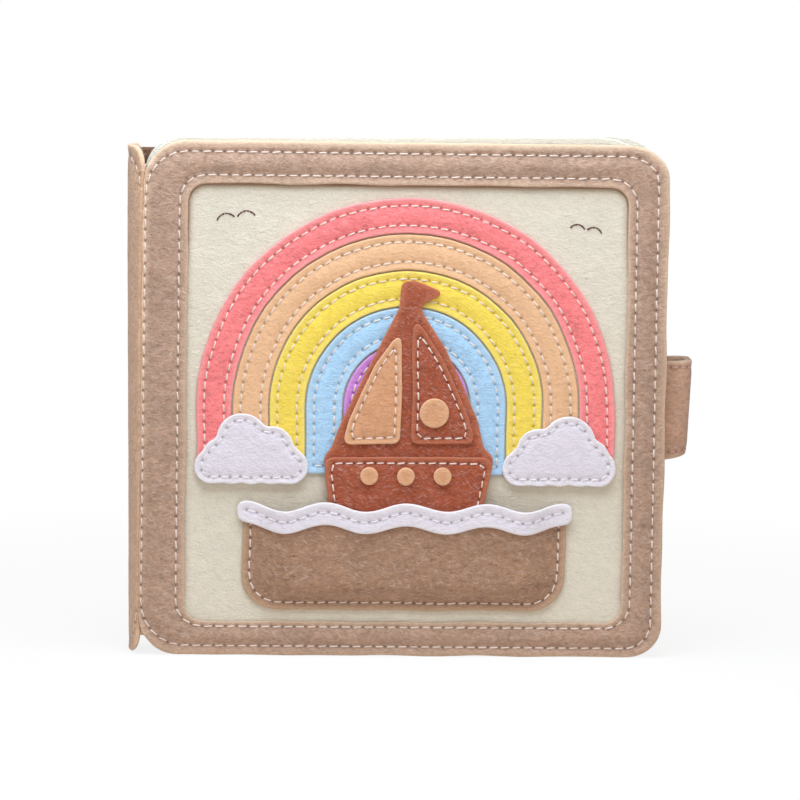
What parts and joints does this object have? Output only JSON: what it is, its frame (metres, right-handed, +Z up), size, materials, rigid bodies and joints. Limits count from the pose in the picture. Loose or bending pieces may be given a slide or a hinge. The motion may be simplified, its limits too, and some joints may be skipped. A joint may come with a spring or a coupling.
{
  "type": "felt quiet book",
  "caption": "Square felt quiet book with windowed cover, folding spine, sewn leaves, closing strap and a loose felt boat in a cover pocket.",
  "frame": {"origin": "under the middle of the closed book, at the level of its bottom edge", "axes": "+Z up along the spine, +X from the spine to the fore-edge, +Y from the front cover to the back cover"},
  "size_m": [0.2168, 0.0342, 0.1978],
  "materials": {
    "taupe_felt": "matte",
    "spine_felt": "matte",
    "lining_felt": "matte",
    "cream_felt": "matte",
    "leaf_felt": "matte",
    "pink_felt": "matte",
    "peach_felt": "matte",
    "yellow_felt": "matte",
    "blue_felt": "matte",
    "purple_felt": "matte",
    "white_felt": "matte",
    "rust_felt": "matte",
    "tan_felt": "matte",
    "pocket_felt": "matte",
    "hook_and_loop": "matte"
  },
  "bodies": {
    "back_cover": {"back_cover_outer": "taupe_felt", "back_cover_lining": "taupe_felt", "strap_root": "taupe_felt"},
    "spine": {"spine_outer": "spine_felt", "spine_lining": "lining_felt"},
    "front_cover": {"front_cover_frame": "taupe_felt", "front_cover_panel": "cream_felt", "front_cover_lining": "taupe_felt", "fastener_hook_strip": "hook_and_loop", "rainbow_band_pink": "pink_felt", "rainbow_band_peach": "peach_felt", "rainbow_band_yellow": "yellow_felt", "rainbow_band_blue": "blue_felt", "rainbow_band_purple": "purple_felt", "cloud_left": "white_felt", "cloud_right": "white_felt", "sea_pocket": "pocket_felt", "pocket_rim_band": "white_felt"},
    "leaf_1": {"leaf_1_front_sheet": "leaf_felt", "leaf_1_back_sheet": "leaf_felt"},
    "leaf_2": {"leaf_2_front_sheet": "leaf_felt", "leaf_2_back_sheet": "leaf_felt"},
    "leaf_3": {"leaf_3_front_sheet": "leaf_felt", "leaf_3_back_sheet": "leaf_felt"},
    "strap": {"strap_outer": "taupe_felt", "strap_lining": "taupe_felt", "fastener_loop_strip": "hook_and_loop"},
    "boat": {"boat_back": "rust_felt", "boat_hull": "rust_felt", "boat_mainsail": "rust_felt", "boat_jib": "tan_felt", "boat_sail_disc": "tan_felt", "boat_porthole_1": "tan_felt", "boat_porthole_2": "tan_felt", "boat_porthole_3": "tan_felt"}
  },
  "joints": [
    {"name": "book_open", "type": "hinge", "parent": "back_cover", "child": "spine", "pos_m": [-0.10235, 0.0135, 0.098], "axis": [0, 0, -1], "range_deg": [0, 90]},
    {"name": "front_crease", "type": "hinge", "parent": "spine", "child": "front_cover", "pos_m": [-0.10235, -0.0107, 0.098], "axis": [0, 0, -1], "range_deg": [0, 90]},
    {"name": "leaf_1_turn", "type": "hinge", "parent": "spine", "child": "leaf_1", "pos_m": [-0.10171, -0.00265, 0.1], "axis": [0, 0, -1], "range_deg": [0, 50]},
    {"name": "leaf_2_turn", "type": "hinge", "parent": "spine", "child": "leaf_2", "pos_m": [-0.10236, 0.00235, 0.1], "axis": [0, 0, -1], "range_deg": [0, 10]},
    {"name": "leaf_3_turn", "type": "hinge", "parent": "spine", "child": "leaf_3", "pos_m": [-0.10085, 0.00735, 0.1], "axis": [0, 0, -1], "range_deg": [-50, 0]},
    {"name": "strap_open", "type": "hinge", "parent": "back_cover", "child": "strap", "pos_m": [0.08765, 0.01595, 0.095], "axis": [0, 0, 1], "range_deg": [0, 120]},
    {"name": "boat_lift", "type": "slide", "parent": "front_cover", "child": "boat", "axis": [0, 0, 1], "range_m": [0, 0.034]}
  ],
  "couplings": [
    {"joint": "front_crease", "follows": "book_open", "ratio": 1},
    {"joint": "leaf_1_turn", "follows": "book_open", "ratio": 0.5555},
    {"joint": "leaf_2_turn", "follows": "book_open", "ratio": 0.1111},
    {"joint": "leaf_3_turn", "follows": "book_open", "ratio": -0.5555}
  ]
}
